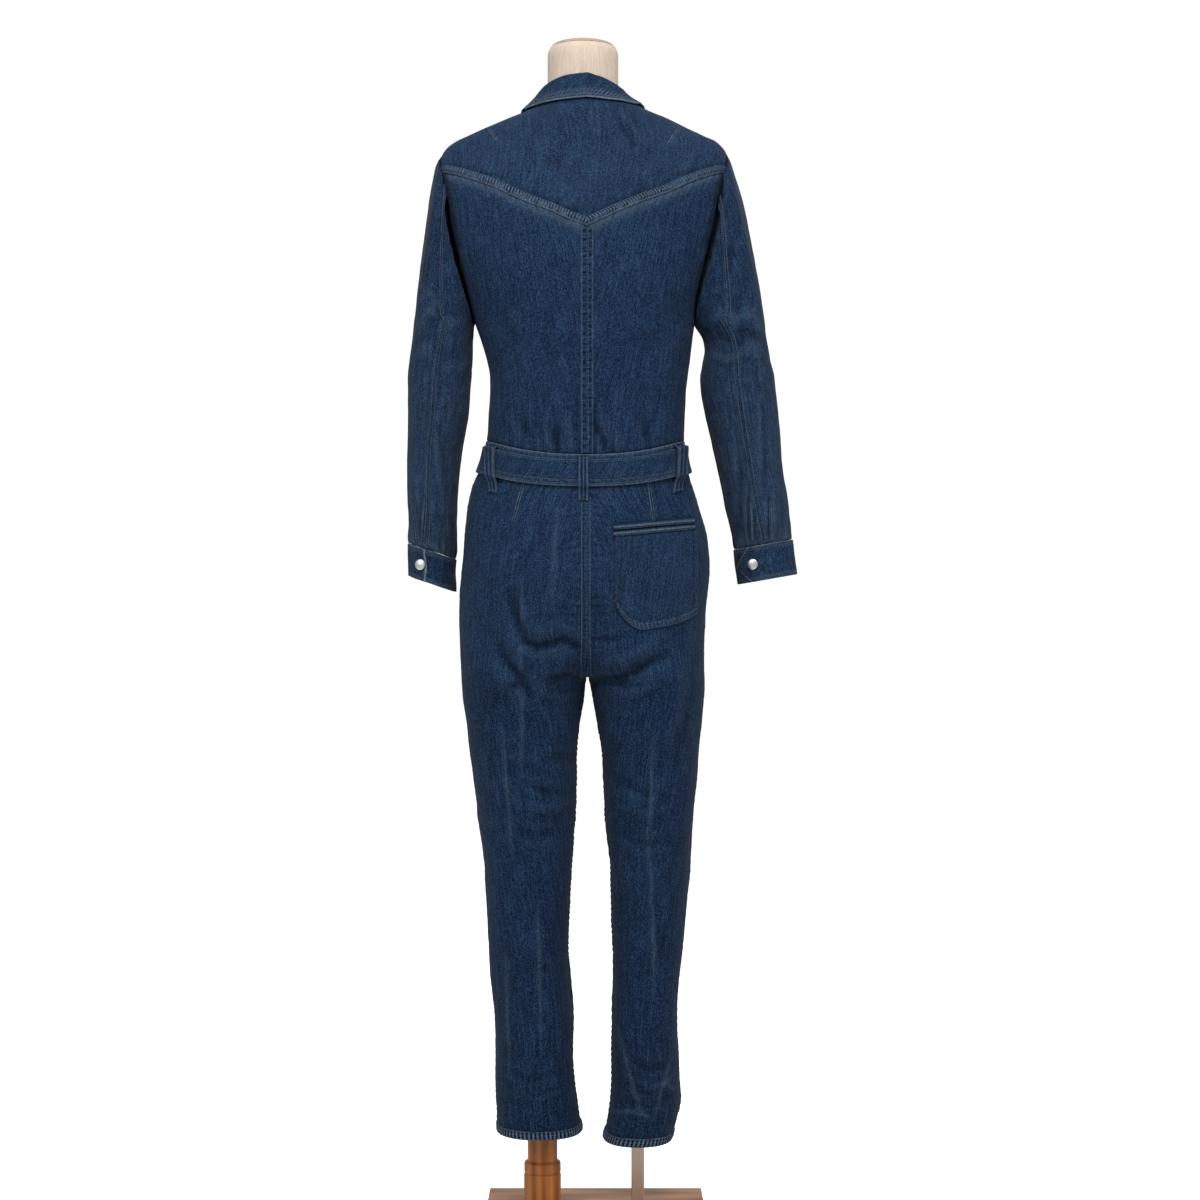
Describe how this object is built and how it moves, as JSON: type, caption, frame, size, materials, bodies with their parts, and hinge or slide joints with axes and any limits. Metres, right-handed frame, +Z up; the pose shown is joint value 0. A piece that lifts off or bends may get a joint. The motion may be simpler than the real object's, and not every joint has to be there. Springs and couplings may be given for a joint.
{
  "type": "jumpsuit on a dress form",
  "caption": "Long-sleeved denim jumpsuit with a pointed back yoke, turned-down collar, snapped cuffs and its own belt, filled out by a linen dress form on a plank stand.",
  "frame": {"origin": "on the underside of the plank, below the garment's centre line", "axes": "+Z up, the garment's back faces -Y, the wearer's left is at -X"},
  "size_m": [0.5361, 0.304, 1.636],
  "materials": {
    "denim": "washed indigo twill, matte",
    "snap_metal": "bright plated",
    "linen": "natural woven linen",
    "post_wood": "turned and oiled",
    "base_wood": "planed and waxed",
    "bar_steel": "brushed flat bar"
  },
  "bodies": {
    "root": {"back_left": "denim", "back_right": "denim", "front_left": "denim", "front_right": "denim", "yoke_back": "denim", "collar": "denim", "sleeve_left_top": "denim", "sleeve_left_under": "denim", "sleeve_right_top": "denim", "sleeve_right_under": "denim", "cuff_left": "denim", "cuff_right": "denim", "placket": "denim", "fly": "denim", "waistband_back": "denim", "waistband_front_left": "denim", "waistband_front_right": "denim", "belt": "denim", "loop_back_centre": "denim", "loop_back_left": "denim", "loop_back_right": "denim", "loop_front_left": "denim", "loop_front_right": "denim", "leg_back_left": "denim", "leg_back_right": "denim", "leg_front_left": "denim", "leg_front_right": "denim", "welt_upper": "denim", "welt_lower": "denim", "pocket_back": "denim", "pocket_front_left": "denim", "pocket_front_right": "denim", "buckle": "snap_metal", "prong": "snap_metal", "snap_cuff_left": "snap_metal", "snap_cuff_right": "snap_metal", "snap_front_1": "snap_metal", "snap_front_2": "snap_metal", "snap_front_3": "snap_metal", "snap_front_4": "snap_metal", "snap_front_5": "snap_metal", "snap_front_6": "snap_metal", "form_torso": "linen", "form_cap": "linen", "stand_post": "post_wood", "stand_bar": "bar_steel", "stand_base": "base_wood"}
  },
  "joints": []
}
